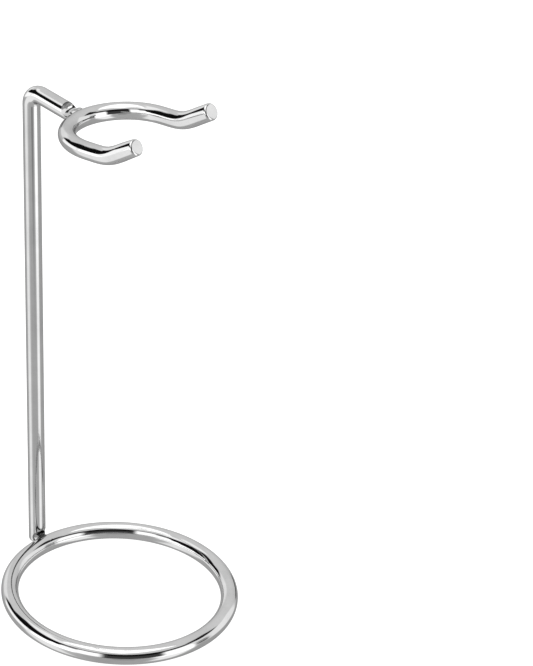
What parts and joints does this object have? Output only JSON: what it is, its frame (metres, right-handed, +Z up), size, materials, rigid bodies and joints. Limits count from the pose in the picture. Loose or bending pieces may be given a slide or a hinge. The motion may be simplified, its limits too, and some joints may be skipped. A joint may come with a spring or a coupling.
{
  "type": "razor stand",
  "caption": "Polished wire stand with a round base ring, a single upright and a U-shaped cradle that a razor hangs from.",
  "frame": {"origin": "centre of the base ring, on the surface that it rests on", "axes": "+Z up, -Y the side that the cradle opens to, +X to the right seen from the front"},
  "size_m": [0.0684, 0.0811, 0.1535],
  "materials": {
    "chrome_wire": "polished chrome plate on steel wire",
    "chrome_weld": "dressed weld under chrome plate"
  },
  "bodies": {
    "root": {"base_ring": "chrome_wire", "ring_seam_weld": "chrome_weld", "upright_post": "chrome_wire", "foot_weld": "chrome_weld", "cradle_fork": "chrome_wire", "cradle_weld": "chrome_weld"}
  },
  "joints": []
}
